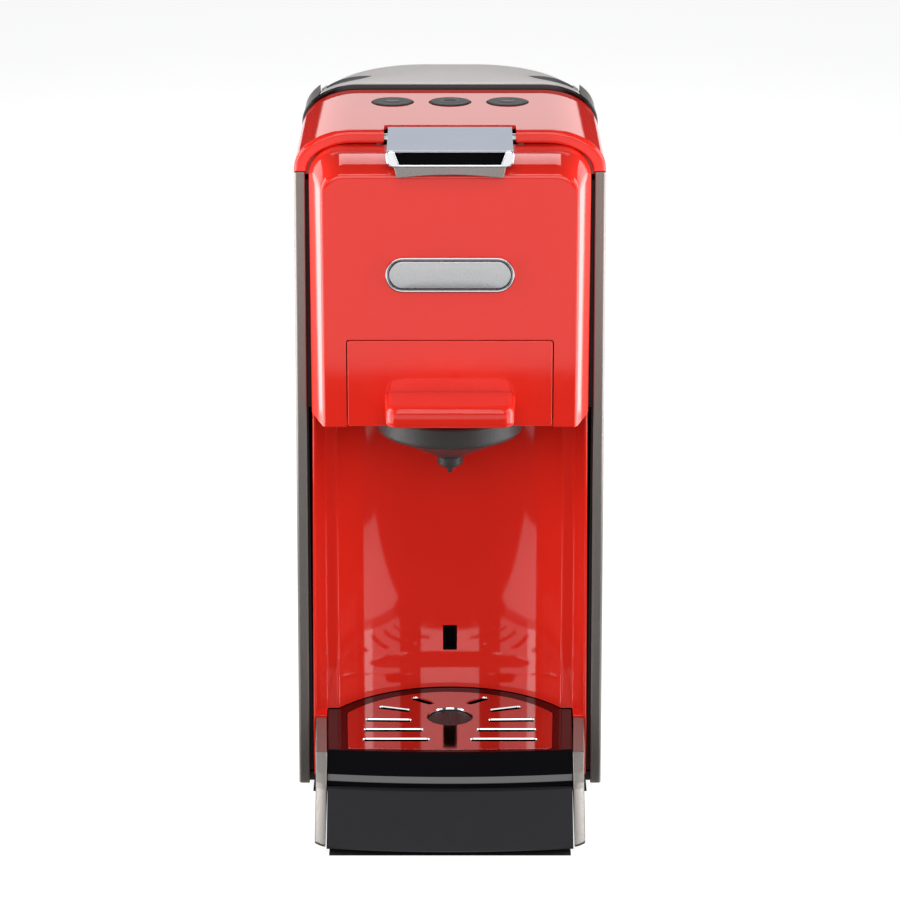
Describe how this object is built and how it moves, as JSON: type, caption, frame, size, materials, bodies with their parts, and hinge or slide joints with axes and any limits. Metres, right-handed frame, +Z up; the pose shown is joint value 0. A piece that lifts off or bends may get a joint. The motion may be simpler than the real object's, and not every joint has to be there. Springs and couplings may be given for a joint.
{
  "type": "pod coffee machine",
  "caption": "Slim pod coffee machine: lift-up brewing lever, pull-out pod drawer, cup bay over a drip tray, rear water tank with a hinged lid.",
  "frame": {"origin": "on the table, under the centre of the machine's bounding box", "axes": "+Z up; +X to the machine's right as seen by someone facing its front; -Y out of the front, towards the user; +Y towards the tank"},
  "size_m": [0.128, 0.254, 0.287],
  "materials": {
    "red_gloss": "gloss",
    "titanium_panel": "satin metallic",
    "gloss_black": "gloss",
    "satin_black": "satin",
    "structure_black": "moulded",
    "holder_grey": "fine grain",
    "chrome": "polished",
    "mirror_steel": "polished",
    "steel": "brushed",
    "lid_grey": "satin",
    "rubber": "matte",
    "smoke_clear": "clear smoke",
    "aluminium": "cast",
    "pump_body": "wound coil under lacquer",
    "board": "solder mask",
    "silicone": "matte"
  },
  "bodies": {
    "chassis": {"base_pan": "structure_black", "base_screw_1": "steel", "base_screw_2": "steel", "base_screw_3": "steel", "base_screw_4": "steel", "foot_front_left": "rubber", "foot_front_right": "rubber", "foot_rear_left": "rubber", "foot_rear_right": "rubber", "base_cheek_left": "titanium_panel", "base_cheek_right": "titanium_panel", "tank_base": "structure_black", "cord_gland": "rubber", "tray_deck": "gloss_black", "side_panel_left": "titanium_panel", "side_panel_right": "titanium_panel", "chassis_wall_left": "structure_black", "chassis_wall_right": "structure_black", "rear_bulkhead": "structure_black", "top_cap": "red_gloss", "rear_hood": "titanium_panel", "brew_bay": "red_gloss", "bay_slot_insert": "structure_black", "head_shell": "red_gloss", "badge_plate": "steel", "lever_pin": "steel", "lever_bracket_left": "steel", "lever_bracket_right": "steel", "brew_cylinder": "aluminium", "drawer_rail_left": "structure_black", "drawer_rail_right": "structure_black", "control_board": "board", "water_pump": "pump_body", "boiler": "aluminium", "suction_hose": "silicone", "pressure_hose": "silicone", "brew_hose": "silicone"},
    "lever": {"lever_handle": "chrome", "lever_core": "structure_black"},
    "piston": {"piston_head": "aluminium", "piston_yoke": "steel", "piston_roller": "steel", "piston_spring": "steel"},
    "drawer": {"drawer_front": "red_gloss", "pull_tab": "red_gloss", "drawer_carriage": "structure_black", "pod_holder": "holder_grey", "pod_basket": "steel", "spout": "holder_grey"},
    "tray": {"drip_tray": "satin_black", "tray_front": "satin_black"},
    "grid": {"cup_grid": "mirror_steel"},
    "tank": {"water_tank": "smoke_clear", "tank_valve": "structure_black", "lid_pin": "steel"},
    "lid": {"tank_lid": "lid_grey"},
    "left_button": {"button_left": "rubber"},
    "centre_button": {"button_centre": "rubber"},
    "right_button": {"button_right": "rubber"}
  },
  "joints": [
    {"name": "lever_hinge", "type": "hinge", "parent": "chassis", "child": "lever", "pos_m": [0, -0.053, 0.2804], "axis": [-1, 0, 0], "range_deg": [0, 75]},
    {"name": "piston_lift", "type": "slide", "parent": "chassis", "child": "piston", "axis": [0, 0, 1], "range_m": [0, 0.008], "deforming": ["piston_spring"]},
    {"name": "drawer_slide", "type": "slide", "parent": "chassis", "child": "drawer", "axis": [0, -1, 0], "range_m": [0, 0.075]},
    {"name": "tray_slide", "type": "slide", "parent": "chassis", "child": "tray", "axis": [0, -1, 0], "range_m": [0, 0.1]},
    {"name": "grid_lift", "type": "slide", "parent": "chassis", "child": "grid", "axis": [0, 0, 1], "range_m": [0, 0.04]},
    {"name": "tank_lift", "type": "slide", "parent": "chassis", "child": "tank", "axis": [0, 0, 1], "range_m": [0, 0.06]},
    {"name": "lid_hinge", "type": "hinge", "parent": "tank", "child": "lid", "pos_m": [0, 0.124, 0.2655], "axis": [-1, 0, 0], "range_deg": [0, 100]},
    {"name": "button_left_press", "type": "slide", "parent": "chassis", "child": "left_button", "axis": [0, 0, -1], "range_m": [0, 0.0015], "stiffness_N_per_m": 300, "springref_m": -0.002},
    {"name": "button_centre_press", "type": "slide", "parent": "chassis", "child": "centre_button", "axis": [0, 0, -1], "range_m": [0, 0.0015], "stiffness_N_per_m": 300, "springref_m": -0.002},
    {"name": "button_right_press", "type": "slide", "parent": "chassis", "child": "right_button", "axis": [0, 0, -1], "range_m": [0, 0.0015], "stiffness_N_per_m": 300, "springref_m": -0.002}
  ],
  "couplings": [
    {"joint": "piston_lift", "follows": "lever_hinge", "m_per_rad": 0.0061}
  ]
}
